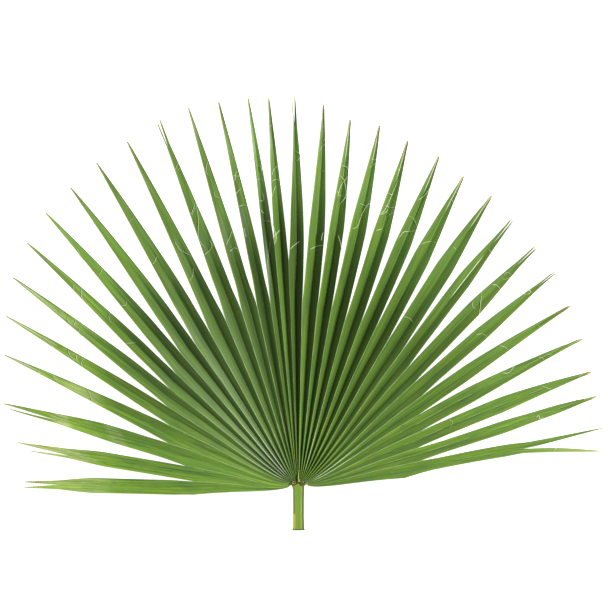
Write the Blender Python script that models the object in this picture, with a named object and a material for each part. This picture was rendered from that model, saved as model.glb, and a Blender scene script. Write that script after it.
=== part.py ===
"""Fan palm leaf, cut with a short length of stalk and lying flat, upper side up.

The blade is one pleated sheet. Each segment is a trough: its midrib is the valley, and the ridges on
both sides of it run out from the hub to the notches, past which the segments are free. Plan positions
are given from the hub, where the pleats meet, with +Y along the leaf's axis. Segments are counted
clockwise from the lowest one on the left. The origin is at the bottom centre of the whole leaf's box.
"""

import math

import bmesh
import bpy
import numpy as np

MM = 0.001

# Tips of the segments, in mm right of the hub and in front of it
TIPS = [
    (-410, -2), (-420, 61), (-441, 119), (-440, 192), (-437, 250), (-427, 308), (-406, 360), (-378, 405),
    (-341, 443), (-302, 480), (-256, 512), (-207, 544), (-164, 562), (-119, 571), (-75, 577), (-44, 577),
    (-5, 580), (38, 567), (78, 545), (122, 536), (164, 513), (211, 490), (248, 460), (290, 431),
    (321, 394), (357, 354), (385, 316), (409, 266), (426, 216), (439, 166), (447, 130), (456, 82),
]

# Ends of the gaps between segments, in the same way. The first and last are on the fan's lower edge.
NOTCHES = [
    (-156, -17), (-156, 3), (-168, 26), (-193, 60), (-192, 87), (-195, 115), (-192, 142), (-182, 164),
    (-175, 195), (-153, 208), (-131, 225), (-107, 242), (-83, 255), (-61, 265), (-41, 268), (-35, 357),
    (-14, 334), (6, 271), (29, 265), (50, 262), (70, 244), (94, 241), (116, 233), (133, 212),
    (155, 198), (165, 175), (174, 151), (185, 131), (181, 103), (183, 78), (179, 53), (178, 32),
    (160, 8),
]

# Segments whose tip is torn in two: where the tear starts as a share of the free length, how far
# across the segment it runs (0 at the left margin, 1 at the right), and the two strands' tips in mm.
TEARS = {
    0: (0.80, 0.50, (-410, -6), (-410, 2)),
    1: (0.72, 0.30, (-400, 48), (-420, 61)),
    2: (0.715, 0.32, (-432, 111), (-441, 119)),
    11: (0.88, 0.30, (-210, 538), (-207, 544)),
    16: (0.86, 0.25, (-9, 578), (-5, 580)),
    24: (0.83, 0.50, (320, 395), (323, 393)),
    25: (0.86, 0.45, (355, 355), (358, 352)),
    26: (0.88, 0.45, (384, 317), (386, 314)),
    31: (0.60, 0.58, (456, 82), (455, 48)),
}

# Slope of a segment's two halves at some of the segments, in degrees
PLEAT_SLOPES = {0: 13, 3: 15, 6: 28, 9: 36, 12: 42, 15: 50, 20: 52, 23: 46, 26: 32, 28: 19, 31: 13}
# How far the ridges, counted like the notches, sag towards the fan's lower edge near the hub, in mm
SAGS = {0: 4.0, 2: 6.0, 5: 4.5, 8: 2.5, 12: 0, 17: 0, 21: 2.2, 24: 5.0, 26: 6.0, 29: 5.5, 32: 4.0}
SAG_RISE = 0.6            # powers of the sag's growth from the hub and of its end towards the notches
SAG_FALL = 2.6

HUB_STEEPNESS = 1.12      # times the slope, at the hub
FULL_STEEPNESS = 0.4      # share of a segment's length at which the slope is the one above
FLATTENING = (0.58, 0.76) # shares between which the slope lessens to the part of it given next
OUTER_STEEPNESS = {0: 0.6, 3: 0.35, 6: 0.2, 13: 0.25, 14: 0.6, 17: 0.8, 20: 0.85, 24: 0.75, 31: 0.6}
TIP_STEEPNESS = 0.8       # times that, at the tip

BLADE_THICK = 0.8 * MM    # square to the sheet
KEEL_AT_HUB = 9.0 * MM    # height of the midribs' undersides where they leave the hub
ARCH_SIDE = 8.0 * MM      # rise of the midribs between hub and tip, for the lowest segments
ARCH_MIDDLE = 20.0 * MM   # the same for the middle ones
TOUCH_DOWN = 0.87         # share of a segment's length at which its midrib is lowest
KEEL_GAP = 2.5 * MM       # how far most midribs stay above the ground there
GAP_VARIATION = 0.6       # share by which that height differs from one segment to the next
GAP_RHYTHM = 2.3          # radians from one segment to the next in that variation
RESTING = (6, 25)         # the two segments whose midribs reach the ground
ARCH_POWER = 1.3
TIP_RISE = 2.5 * MM       # how far the tips turn up again
RISE_VARIATION = 0.7      # the same variation of that rise
RISE_RHYTHM = 1.7
TIP_HALF_WIDTHS = {0: 0.7, 16: 0.7, 18: 1.2, 30: 1.2, 31: 0.7}     # in mm, at some of the segments

# The free parts, at some of the segments: the share of its width that a segment loses just past the
# notches, the share of the free length at which its taper begins, and in mm how far it bows to its left
NECKINGS = {
    0: -0.10, 1: 0, 2: 0.08, 9: 0.08, 10: 0.14, 12: 0.20, 13: 0.14, 15: 0.07, 16: 0, 25: 0.02, 26: 0.08,
    27: 0, 29: 0, 30: 0.12, 31: 0.18,
}
TAPER_STARTS = {
    0: 0.60, 1: 0.52, 2: 0.40, 3: 0.08, 5: 0.22, 9: 0.20, 10: 0.12, 12: 0.28, 15: 0.15, 16: 0.30, 18: 0.42,
    20: 0.47, 22: 0.47, 24: 0.55, 26: 0.45, 27: 0.30, 28: 0.30, 29: 0.48, 31: 0.50,
}
BOWS = {
    0: -0.8, 1: -0.8, 2: -3.2, 3: -1.4, 9: -2.2, 12: -0.8, 13: -1.6, 15: -0.1, 16: -4.4, 18: -2.0, 20: -2.3, 22: -0.4,
    24: 1.8, 26: 1.4, 27: 2.4, 29: 3.4, 30: -0.4, 31: 6.5,
}

# The share of its width that a segment swells again before its tip
SWELLS = {29: 0, 30: 0.12, 31: 0}
SWELL_PLACE = 0.8
SWELL_REACH = 0.2
NECK_END = 0.15           # share of the free length over which the neck narrows
TAPER_POWER = 1.2
BOW_POWER = 0.7

FUSED_STEPS = 6           # rows of faces from the hub to the notches
FUSED_SPREAD = 1.15       # power that sets them closer near the hub
FREE_STEPS = 9            # rows from the notches to the tips
FREE_SPREAD = 1.1         # power that sets them closer near the tips
BLEND_POWER = 3           # how fast the free parts leave the height of the shared ridges

# The blade's inner edge, a rounded arch that the stalk's head fills
EYE_CENTRE = (0.3 * MM, -1.5 * MM)
EYE_HALF_WIDTH = 13.5 * MM
EYE_HEIGHT = 8.5 * MM
EYE_ROUNDNESS = 2.6
EYE_SPREAD = 1.08         # times the ridges' angle from the leaf's axis, where they leave the eye

GAP = 0.3 * MM            # between touching pieces

# The stalk: distance in front of the hub, half width, height of its upper face and of its underside
CUT_END = -70.5 * MM
STALK = [
    (CUT_END, 9.4 * MM, 10.2 * MM, 0.0),
    (-66 * MM, 8.6 * MM, 10.2 * MM, 0.0),
    (-50 * MM, 8.2 * MM, 10.3 * MM, 0.0),
    (-25 * MM, 8.3 * MM, 10.8 * MM, 0.0),
    (-10 * MM, 8.5 * MM, 11.7 * MM, 0.0),
    (-3 * MM, 9.4 * MM, 12.1 * MM, 0.0),
    (0.5 * MM, 9.2 * MM, 12.1 * MM, 0.0),
    (3.0 * MM, 7.6 * MM, 12.0 * MM, 0.0),
]
STALK_CENTRE = 1.0 * MM   # how far right of the hub it runs
STALK_TURN = 10 * MM      # distance from the hub over which it gets there
STALK_FLAT = 0.34         # share of its width that is flat below
STALK_EDGE = 1.3 * MM     # thickness of its sharp margins
STALK_HOLLOW = 0.6 * MM   # how far the upper face dips in the middle
STALK_HOLLOWED = 8 * MM   # half width from which it dips fully
# Its section: shares of the half width, with shares of the dip and below those of the depth
STALK_UPPER = [(-1, 0), (-0.55, 0.75), (0, 1), (0.55, 0.75), (1, 0)]
STALK_LOWER = [(0.9, 0.55), (0.68, 0.85), (STALK_FLAT, 1)]

# The costa under the blade
COSTA_START = 4.6 * MM
COSTA_END = 78 * MM
COSTA_STEPS = 7
COSTA_HALF_WIDTH = (6.5 * MM, 1.3 * MM)
COSTA_DEPTH = (8.4 * MM, 1.6 * MM)
KEEL_SAMPLES = 30         # places at which each midrib near the hub is tested for room
KEEL_REACH = (1 * MM, 4 * MM)  # how far beside and along the costa it is tested

# The flap at the stalk's head
RIM_STEPS = 10
RIM_HALF_WIDTH = 11.0 * MM
RIM_PEAK = 2.6 * MM
RIM_ENDS = -3.4 * MM
RIM_DEPTH = 2.4 * MM
RIM_NARROWING = 0.6       # share of that depth that it loses towards its ends
RIM_THICK = 1.3 * MM
SPIKE_TIP = (1.2 * MM, 18.0 * MM)
SPIKE_HALF_WIDTH = 1.65 * MM
SPIKE_ROOM = 2.0 * MM     # beside its middle the rim has no other points
SPIKE_LIFT = 1.4 * MM

# Colours and roughness
BLADE_LOOK = (0.16, 0.34, 0.06), 0.45
PETIOLE_LOOK = (0.22, 0.38, 0.07), 0.5
HASTULA_LOOK = (0.26, 0.14, 0.05), 0.8

TIPS = np.array(TIPS) * MM
NOTCHES = np.array(NOTCHES) * MM
COUNT = len(TIPS)


def smoothstep(x):
    x = np.clip(x, 0, 1)
    return x * x * (3 - 2 * x)


def tear(i):
    """Where segment i's tear starts, how far across it runs, and the tips of both strands."""
    start, across, left, right = TEARS.get(i, (1.0, 0.5, TIPS[i] / MM, TIPS[i] / MM))
    return start, across, np.array(left) * MM, np.array(right) * MM


def middle_tip(i):
    left, right = tear(i)[2:]
    return (left + right) / 2


def axis(i):
    """Unit vector along segment i, and the one to its left."""
    along = middle_tip(i) / np.linalg.norm(middle_tip(i))
    return along, np.array([-along[1], along[0]])


def around_fan(values, i):
    """A value for segment i between those given at some of the segments."""
    return float(np.interp(i, list(values), list(values.values())))


def pleat_slope(i, share):
    """Slope of segment i's halves at a share of its length, in radians."""
    outer = around_fan(OUTER_STEEPNESS, i)
    places = [0, FULL_STEEPNESS, *FLATTENING, 1]
    steepness = np.interp(share, places, [HUB_STEEPNESS, 1, 1, outer, outer * TIP_STEEPNESS])
    return math.radians(around_fan(PLEAT_SLOPES, i) * steepness)


def keel_height(i, share):
    """Height of segment i's underside along its midrib, at a share of its length."""
    side = abs(i - (COUNT - 1) / 2) / ((COUNT - 1) / 2)
    arch = ARCH_MIDDLE + (ARCH_SIDE - ARCH_MIDDLE) * side**2
    lowest = 0 if i in RESTING else KEEL_GAP * (1 + GAP_VARIATION * math.sin(GAP_RHYTHM * i))
    rise = math.sin(math.pi * min(share / TOUCH_DOWN, 1)) ** ARCH_POWER
    turn = TIP_RISE * (1 + RISE_VARIATION * math.sin(RISE_RHYTHM * i + 1))
    return (
        KEEL_AT_HUB * (1 - share) ** 2
        + arch * rise
        + lowest * smoothstep(share / TOUCH_DOWN)
        + turn * smoothstep((share - TOUCH_DOWN) / (1 - TOUCH_DOWN))
    )


def width_left(i, u):
    """Share of its width that segment i keeps at a share u of its free length."""
    neck = 1 - around_fan(NECKINGS, i) * smoothstep(u / NECK_END)
    start = around_fan(TAPER_STARTS, i)
    swell = around_fan(SWELLS, i) * smoothstep(1 - abs(u - SWELL_PLACE) / SWELL_REACH)
    return neck * (1 - np.clip((u - start) / (1 - start), 0, 1) ** TAPER_POWER) + swell


def eye(j):
    """Where ridge j leaves the hub."""
    angle = math.atan2(NOTCHES[j][1], NOTCHES[j][0]) % (2 * math.pi)
    angle = math.pi / 2 + (angle - math.pi / 2) * EYE_SPREAD
    c, s = math.cos(angle), math.sin(angle)
    power = 2 / EYE_ROUNDNESS
    return np.array([
        EYE_CENTRE[0] + EYE_HALF_WIDTH * math.copysign(abs(c) ** power, c),
        EYE_CENTRE[1] + EYE_HEIGHT * math.copysign(abs(s) ** power, s),
    ])


def ridge(j, f):
    """A place on ridge j at a share f of the way from the hub to its notch."""
    place = eye(j) * (1 - f) + NOTCHES[j] * f
    outward = math.copysign(1, 2 * j - COUNT)
    aside = np.array([NOTCHES[j][1], -NOTCHES[j][0]]) / np.linalg.norm(NOTCHES[j]) * outward
    lowest = SAG_RISE / (SAG_RISE + SAG_FALL)
    share = (f / lowest) ** SAG_RISE * ((1 - f) / (1 - lowest)) ** SAG_FALL
    return place + aside * around_fan(SAGS, j) * MM * share


class Segment:
    """Plan positions of one segment's left edge, midrib and right edge, row by row."""

    def __init__(self, i):
        self.i = i
        self.along, self.left = axis(i)
        self.length = np.linalg.norm(middle_tip(i))
        self.start, self.across, self.tip_left, self.tip_right = tear(i)
        self.notch_left, self.notch_right = NOTCHES[i], NOTCHES[i + 1]
        self.width = abs((self.notch_left - self.notch_right) @ self.left)
        self.bow = around_fan(BOWS, i) * MM

    def fused_row(self, f):
        left, right = ridge(self.i, f), ridge(self.i + 1, f)
        return left, (left + right) / 2, (left + right) / 2, right

    def free_row(self, u):
        """Left margin, inner edge of the left strand, of the right strand, and right margin."""
        half = self.width / 2
        bulge = self.left * half * (width_left(self.i, u) - (1 - u))
        bow = self.left * self.bow * max(0, math.sin(math.pi * u)) ** BOW_POWER
        end = around_fan(TIP_HALF_WIDTHS, self.i) * MM * u
        torn = (u - self.start) / (1 - self.start) if u > self.start else 0
        whole = middle_tip(self.i)
        tip_left = whole * (1 - torn) + self.tip_left * torn
        tip_right = whole * (1 - torn) + self.tip_right * torn
        left = self.notch_left * (1 - u) + tip_left * u + bulge + self.left * end
        right = self.notch_right * (1 - u) + tip_right * u - bulge - self.left * end
        # A torn strand straightens where it lies on the hollow side of the bow
        left += bow * (1 - torn if self.bow < 0 else 1)
        right += bow * (1 - torn if self.bow > 0 else 1)
        across = 0.5 + (self.across - 0.5) * smoothstep(u / self.start)
        middle = left * (1 - across) + right * across
        if torn:
            reach = self.width * width_left(self.i, u) + 2 * end
            inner_left = left - self.left * (reach * across + 2 * end * (1 - across) * torn)
            inner_right = right + self.left * (reach * (1 - across) + 2 * end * across * torn)
            return left, inner_left, inner_right, right
        return left, middle, middle, right


def share_at(segment, point):
    return float(np.clip((point @ segment.along) / segment.length, 0, 1))


def fold_height(segment, edge, middle):
    """How far an edge of a segment stands above its midrib."""
    reach = abs((edge - middle) @ segment.left)
    return reach * math.tan(pleat_slope(segment.i, share_at(segment, middle)))


def sheet_depth(segment, middle):
    """Vertical thickness of the sheet, so that it measures BLADE_THICK square to its slope."""
    return BLADE_THICK / math.cos(pleat_slope(segment.i, share_at(segment, middle)))


def free_stations(segment):
    """Shares of the free length at which the segment has a row, one of them where its tear starts."""
    stations = [1 - (1 - k / FREE_STEPS) ** FREE_SPREAD for k in range(1, FREE_STEPS + 1)]
    if segment.start < 1:
        inside = stations[:-1]
        nearest = min(range(len(inside)), key=lambda k: abs(inside[k] - segment.start))
        stations[nearest] = segment.start
    return stations


def blade_sheet():
    """Vertices of the upper face, each with the sheet's depth below it, its triangles, and the
    vertices along each midrib from the hub to the notches."""
    points, depths, faces, valleys = [], [], [], []

    def add(plan, height, depth):
        points.append((plan[0], plan[1], height))
        depths.append(depth)
        return len(points) - 1

    def strip(a, b, c, d):
        """Two triangles between the edges a to b (nearer the hub) and c to d, left to right."""
        faces.append((a, b, d))
        faces.append((a, d, c))

    segments = [Segment(i) for i in range(COUNT)]
    steps = [(k / FUSED_STEPS) ** FUSED_SPREAD for k in range(FUSED_STEPS + 1)]
    ridges = []
    for j in range(COUNT + 1):
        beside = [segments[i] for i in (j - 1, j) if 0 <= i < COUNT]
        line = []
        for f in steps:
            heights, depth = [], []
            for segment in beside:
                left, middle, _, right = segment.fused_row(f)
                edge = left if segment.i == j else right
                deep = sheet_depth(segment, middle)
                keel = keel_height(segment.i, share_at(segment, middle))
                heights.append(keel + deep + fold_height(segment, edge, middle))
                depth.append(deep)
            line.append(add(edge, sum(heights) / len(heights), sum(depth) / len(depth)))
        ridges.append(line)

    for segment in segments:
        i = segment.i
        row = None
        valleys.append([])
        for k, f in enumerate(steps):
            middle = segment.fused_row(f)[1]
            deep = sheet_depth(segment, middle)
            valley = add(middle, keel_height(i, share_at(segment, middle)) + deep, deep)
            valleys[i].append(valley)
            new = (ridges[i][k], valley, valley, ridges[i + 1][k])
            if row:
                strip(row[0], row[1], new[0], new[1])
                strip(row[2], row[3], new[2], new[3])
            row = new
        mismatch = [points[row[0]][2], points[row[3]][2]]
        left, middle, _, right = segment.free_row(0)
        deep = sheet_depth(segment, middle)
        keel = keel_height(i, share_at(segment, middle)) + deep
        for side, edge in enumerate((left, right)):
            mismatch[side] -= keel + fold_height(segment, edge, middle)
        for u in free_stations(segment):
            left, inner_left, inner_right, right = segment.free_row(u)
            middle = (inner_left + inner_right) / 2
            deep = sheet_depth(segment, middle)
            keel = keel_height(i, share_at(segment, middle)) + deep
            edges = []
            for side, (edge, inner) in enumerate(((left, inner_left), (right, inner_right))):
                height = keel + fold_height(segment, edge, inner) + mismatch[side] * (1 - u) ** BLEND_POWER
                edges.append(add(edge, height, deep))
            valley = add(inner_left, keel, deep)
            other = add(inner_right, keel, deep) if u > segment.start else valley
            new = (edges[0], valley, other, edges[1])
            strip(row[0], row[1], new[0], new[1])
            strip(row[2], row[3], new[2], new[3])
            row = new
    return np.array(points), np.array(depths), faces, valleys


def closed_sheet(name, points, depths, faces):
    """A solid between a sheet and its copy lowered by each vertex's own depth."""
    bm = bmesh.new()
    verts = [bm.verts.new(p) for p in points]
    for face in faces:
        bm.faces.new([verts[k] for k in face])
    new = bmesh.ops.extrude_face_region(bm, geom=bm.faces[:] + bm.edges[:] + bm.verts[:])
    copies = [v for v in new["geom"] if isinstance(v, bmesh.types.BMVert)]
    depth_at = {tuple(v.co): d for v, d in zip(verts, depths)}
    for vert in copies:
        vert.co.z -= depth_at[tuple(vert.co)]
    bmesh.ops.recalc_face_normals(bm, faces=bm.faces)
    return finished(name, bm)


def finished(name, bm):
    mesh = bpy.data.meshes.new(name)
    bm.to_mesh(mesh)
    bm.free()
    obj = bpy.data.objects.new(name, mesh)
    bpy.context.scene.collection.objects.link(obj)
    return obj


def lofted(name, rings):
    """A closed solid through rings of points with flat ends."""
    bm = bmesh.new()
    loops = [[bm.verts.new(p) for p in ring] for ring in rings]
    count = len(loops[0])
    for a, b in zip(loops, loops[1:]):
        for k in range(count):
            n = (k + 1) % count
            bm.faces.new((a[k], a[n], b[n], b[k]))
    bm.faces.new(loops[0])
    bm.faces.new(loops[-1])
    bmesh.ops.triangulate(bm, faces=bm.faces[:])
    bmesh.ops.recalc_face_normals(bm, faces=bm.faces)
    return finished(name, bm)


def stalk_section(y, half, top, bottom, edge):
    """One cross-section of the stalk: hollowed above, rounded below with a narrow flat."""
    deep = top - bottom
    centre = STALK_CENTRE * smoothstep(-y / STALK_TURN)
    hollow = STALK_HOLLOW * min(1, half / STALK_HOLLOWED)
    ring = [(x * half, y, top - hollow * dip) for x, dip in STALK_UPPER]
    lower = [(1, 0), *STALK_LOWER]
    side = [(x * half, y, top - max(deep * drop, edge)) for x, drop in lower]
    ring += side + [(-x, y, z) for x, y, z in reversed(side)]
    return [(x + centre, y, z) for x, y, z in ring]


def keel_points(points, depths, valleys):
    """Points along the midribs' undersides near the hub, close together."""
    low = points.copy()
    low[:, 2] -= depths
    found = []
    for valley in valleys:
        for a, b in zip(valley[:2], valley[1:3]):
            found += [low[a] * (1 - f) + low[b] * f for f in np.linspace(0, 1, KEEL_SAMPLES)]
    return np.array(found)


def petiole(keels):
    rings = [stalk_section(y, half, top, bottom, STALK_EDGE) for y, half, top, bottom in STALK]
    for k in range(COSTA_STEPS + 1):
        f = k / COSTA_STEPS
        y = COSTA_START * (1 - f) + COSTA_END * f
        half = COSTA_HALF_WIDTH[0] * (1 - f) + COSTA_HALF_WIDTH[1] * f
        deep = COSTA_DEPTH[0] * (1 - f) + COSTA_DEPTH[1] * f
        beside = abs(keels[:, 0]) < half + KEEL_REACH[0]
        along = abs(keels[:, 1] - y) < KEEL_REACH[1]
        top = keels[beside & along][:, 2].min() - GAP
        bottom = max(0, top - deep)
        rings.append(stalk_section(y, half, top, bottom, min(STALK_EDGE, deep / 2)))
    return lofted("petiole", rings)


def hastula():
    """The brown rim that closes the stalk's upper face, with its spike lying over the pleats."""
    points, faces = [], []
    base = max(row[2] for row in STALK) + GAP
    rows = []
    places = [RIM_HALF_WIDTH * (2 * k / RIM_STEPS - 1) for k in range(RIM_STEPS + 1)]
    places = [x for x in places if abs(x - SPIKE_TIP[0]) > SPIKE_ROOM]
    places += [SPIKE_TIP[0] + d * SPIKE_HALF_WIDTH for d in (-1, 0, 1)]
    for x in sorted(places):
        bend = (abs(x) / RIM_HALF_WIDTH) ** 2
        front = RIM_PEAK + (RIM_ENDS - RIM_PEAK) * bend
        width = RIM_DEPTH * (1 - RIM_NARROWING * bend)
        tip = x == SPIKE_TIP[0]
        y = SPIKE_TIP[1] if tip else front
        lift = SPIKE_LIFT if tip else 0
        rows.append(((x, front - width, base), (x, y, base + lift)))
    for a, b in rows:
        points += [a, b]
    for k in range(len(rows) - 1):
        a, b, c, d = 2 * k, 2 * k + 1, 2 * k + 2, 2 * k + 3
        faces += [(a, c, b), (b, c, d)]
    top = np.array(points)
    top[:, 2] += RIM_THICK
    return closed_sheet("hastula", top, np.full(len(top), RIM_THICK), faces)


def coloured(obj, colour, roughness):
    material = bpy.data.materials.new(obj.name)
    material.use_nodes = True
    shader = material.node_tree.nodes["Principled BSDF"]
    shader.inputs["Base Color"].default_value = (*colour, 1)
    shader.inputs["Roughness"].default_value = roughness
    shader.inputs["Metallic"].default_value = 0
    obj.data.materials.append(material)


def centre_on_box(objects):
    """Moves the pieces so that the origin is at the bottom centre of their common box."""
    corners = np.array([v.co for obj in objects for v in obj.data.vertices])
    low, high = corners.min(0), corners.max(0)
    shift = -np.array([(low[0] + high[0]) / 2, (low[1] + high[1]) / 2, low[2]])
    for obj in objects:
        for vert in obj.data.vertices:
            vert.co = (vert.co.x + shift[0], vert.co.y + shift[1], vert.co.z + shift[2])


def build():
    for obj in list(bpy.data.objects):
        bpy.data.objects.remove(obj)
    points, depths, faces, valleys = blade_sheet()
    blade = closed_sheet("blade", points, depths, faces)
    stalk = petiole(keel_points(points, depths, valleys))
    flap = hastula()
    coloured(blade, *BLADE_LOOK)
    coloured(stalk, *PETIOLE_LOOK)
    coloured(flap, *HASTULA_LOOK)
    centre_on_box([blade, stalk, flap])


build()
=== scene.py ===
"""Fan palm leaf seen from above: its looks, in the same place as its solids.

The blade follows its solid in finer rows. Most tips differ from it by up to 1 mm and one torn strand by
up to 2 mm. Plan positions are given from the hub, where the pleats meet, with +Y along the leaf's axis,
and heights from the ground. Segments are counted clockwise from the lowest one on the left. A place on
one is given by its row, from the hub to the tip, and by how far across it lies, from -1 at its left edge
over 0 at the midrib to 1 at its right edge.
"""

import math
import random

import bmesh
import bpy
import numpy as np
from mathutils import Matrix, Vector
from mathutils.bvhtree import BVHTree


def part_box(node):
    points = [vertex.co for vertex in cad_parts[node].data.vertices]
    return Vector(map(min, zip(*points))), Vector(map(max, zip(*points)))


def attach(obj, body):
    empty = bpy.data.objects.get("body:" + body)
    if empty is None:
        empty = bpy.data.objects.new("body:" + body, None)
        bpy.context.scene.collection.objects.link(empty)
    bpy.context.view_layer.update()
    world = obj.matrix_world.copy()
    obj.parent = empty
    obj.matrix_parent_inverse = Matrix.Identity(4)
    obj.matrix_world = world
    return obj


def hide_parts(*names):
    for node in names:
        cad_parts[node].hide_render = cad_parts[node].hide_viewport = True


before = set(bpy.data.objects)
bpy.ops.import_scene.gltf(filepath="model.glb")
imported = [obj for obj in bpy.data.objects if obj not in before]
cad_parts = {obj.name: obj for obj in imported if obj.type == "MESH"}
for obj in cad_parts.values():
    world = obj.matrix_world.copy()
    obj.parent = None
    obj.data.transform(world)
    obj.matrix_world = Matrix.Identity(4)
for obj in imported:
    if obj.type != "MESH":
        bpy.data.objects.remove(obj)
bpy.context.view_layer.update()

MM = 0.001

# The blade's dimensions. Places, sags, bows, swells of strands and tip widths are in mm, slopes in degrees,
# and the rest in shares. Tears are listed by segment: where each starts, where it lies across, and the tips
# of its strands. The other tables in braces are read between the numbers of segments, or of ridges for sags.
TIPS = [
    (-410, -2), (-420, 61), (-441, 119), (-440, 192), (-437, 250), (-427, 308), (-406, 360), (-378, 405),
    (-341, 443), (-302, 480), (-256, 512), (-207, 544), (-164, 562), (-119, 571), (-75, 577), (-44, 577),
    (-5, 580), (38, 567), (78, 545), (122, 536), (164, 513), (211, 490), (248, 460), (290, 431),
    (321, 394), (357, 354), (385, 316), (409, 266), (426, 216), (439, 166), (447, 130), (456, 82),
]
NOTCHES = [
    (-156, -17), (-156, 3), (-168, 26), (-193, 60), (-192, 87), (-195, 115), (-192, 142), (-182, 164),
    (-175, 195), (-153, 208), (-131, 225), (-107, 242), (-83, 255), (-61, 265), (-41, 268), (-35, 357),
    (-14, 334), (6, 271), (29, 265), (50, 262), (70, 244), (94, 241), (116, 233), (133, 212),
    (155, 198), (165, 175), (174, 151), (185, 131), (181, 103), (183, 78), (179, 53), (178, 32),
    (160, 8),
]
TEARS = {
    0: (0.80, 0.50, (-410, -6), (-410, 2)),
    1: (0.72, 0.30, (-400, 48), (-420, 61)),
    2: (0.715, 0.32, (-432, 111), (-441, 119)),
    11: (0.88, 0.30, (-210, 538), (-207, 544)),
    16: (0.86, 0.25, (-9, 578), (-5, 580)),
    24: (0.83, 0.50, (321, 396), (322, 393)),
    25: (0.86, 0.45, (356, 355), (357, 352)),
    26: (0.88, 0.45, (385, 317), (386, 315)),
    31: (0.60, 0.58, (456, 82), (455, 48)),
}
PLEAT_SLOPES = {0: 13, 3: 15, 6: 28, 9: 36, 12: 42, 15: 50, 20: 52, 23: 46, 26: 32, 28: 19, 31: 13}
SAGS = {0: 4.0, 2: 6.0, 5: 4.5, 8: 2.5, 12: 0, 17: 0, 21: 2.2, 24: 5.0, 26: 6.0, 29: 5.5, 32: 4.0}
SAG_RISE = 0.6
SAG_FALL = 2.6
HUB_STEEPNESS = 1.12
FULL_STEEPNESS = 0.4
FLATTENING = (0.58, 0.76)
OUTER_STEEPNESS = {0: 0.6, 3: 0.35, 6: 0.2, 13: 0.25, 14: 0.6, 17: 0.8, 20: 0.85, 24: 0.75, 31: 0.6}
TIP_STEEPNESS = 0.8
BLADE_THICK = 0.8 * MM
KEEL_AT_HUB = 9.0 * MM
ARCH_SIDE = 8.0 * MM
ARCH_MIDDLE = 20.0 * MM
TOUCH_DOWN = 0.87
KEEL_GAP = 2.5 * MM
GAP_VARIATION = 0.6
GAP_RHYTHM = 2.3
RESTING = (6, 25)
ARCH_POWER = 1.3
TIP_RISE = 2.5 * MM
RISE_VARIATION = 0.7
RISE_RHYTHM = 1.7
TIP_HALF_WIDTHS = {
    0: 0.7, 2: 0.7, 4: 1.0, 15: 1.2, 16: 0.7, 18: 1.2, 23: 1.1, 24: 0.6, 26: 0.6, 27: 1.1, 30: 1.2, 31: 0.7,
}
NECKINGS = {
    0: -0.10, 1: 0, 2: 0.08, 9: 0.08, 10: 0.14, 12: 0.20, 13: 0.14, 15: 0.07, 16: 0, 25: 0.02, 26: 0.08,
    27: 0, 29: 0, 30: 0.12, 31: 0.18,
}
TAPER_STARTS = {
    0: 0.60, 1: 0.52, 2: 0.40, 3: 0.08, 5: 0.22, 9: 0.20, 10: 0.12, 12: 0.28, 15: 0.15, 16: 0.30, 18: 0.42,
    20: 0.47, 22: 0.47, 24: 0.55, 26: 0.45, 27: 0.30, 28: 0.30, 29: 0.48, 31: 0.50,
}
BOWS = {
    0: -0.8, 1: -0.8, 2: -3.2, 3: -1.4, 9: -2.2, 12: -0.8, 13: -1.6, 15: -0.1, 16: -4.4, 18: -2.0, 20: -2.3,
    22: -0.4, 24: 1.8, 26: 1.4, 27: 2.4, 29: 3.4, 30: -0.4, 31: 6.5,
}
SWELLS = {29: 0, 30: 0.12, 31: 0}
SWELL_PLACE = 0.8
SWELL_REACH = 0.2
STRAND_SWELLS = {30: 0, 31: 2.0}    # mm by which the strands of a torn segment are fuller halfway
NECK_END = 0.15
TAPER_POWER = 1.2
BOW_POWER = 0.7
BLEND_POWER = 3
EYE_CENTRE = (0.3 * MM, -1.5 * MM)
EYE_HALF_WIDTH = 13.5 * MM
EYE_HEIGHT = 8.5 * MM
EYE_ROUNDNESS = 2.6
EYE_SPREAD = 1.08
CUT_END = -70.5 * MM

STALK = [
    (CUT_END, 9.4 * MM, 10.2 * MM, 0.0),
    (-66 * MM, 8.6 * MM, 10.2 * MM, 0.0),
    (-50 * MM, 8.2 * MM, 10.3 * MM, 0.0),
    (-25 * MM, 8.3 * MM, 10.8 * MM, 0.0),
    (-10 * MM, 8.5 * MM, 11.7 * MM, 0.0),
    (-3 * MM, 9.4 * MM, 12.1 * MM, 0.0),
    (0.5 * MM, 9.2 * MM, 12.1 * MM, 0.0),
    (3.0 * MM, 7.6 * MM, 12.0 * MM, 0.0),
]
STALK_CENTRE = 1.0 * MM
STALK_TURN = 10 * MM
STALK_FLAT = 0.34
STALK_EDGE = 1.3 * MM
STALK_HOLLOW = 0.6 * MM
COSTA_START = 4.6 * MM
COSTA_END = 78 * MM
COSTA_HALF_WIDTH = (6.5 * MM, 1.3 * MM)
COSTA_DEPTH = (8.4 * MM, 1.6 * MM)

# Finer rows and columns, and powers that set the rows closer near the hub and the tips
COLLAR_ROWS = 4
FUSED_ROWS = 34
FUSED_SPREAD = 1.3
FREE_ROWS = 46
FREE_SPREAD = 1.15
HALF_COLUMNS = 8

TIPS = np.array(TIPS) * MM
NOTCHES = np.array(NOTCHES) * MM
COUNT = len(TIPS)


def smoothstep(x):
    x = np.clip(x, 0, 1)
    return x * x * (3 - 2 * x)


def stalk_centre(y):
    return STALK_CENTRE * float(smoothstep(-y / STALK_TURN))


stalk_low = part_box("petiole")[0]
stalk_left = min(stalk_centre(y) - half for y, half, _, _ in STALK)
HUB = np.array([stalk_low[0] - stalk_left, stalk_low[1] - CUT_END])


def tear(i):
    start, across, left, right = TEARS.get(i, (1.0, 0.5, TIPS[i] / MM, TIPS[i] / MM))
    return start, across, np.array(left) * MM, np.array(right) * MM


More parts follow.
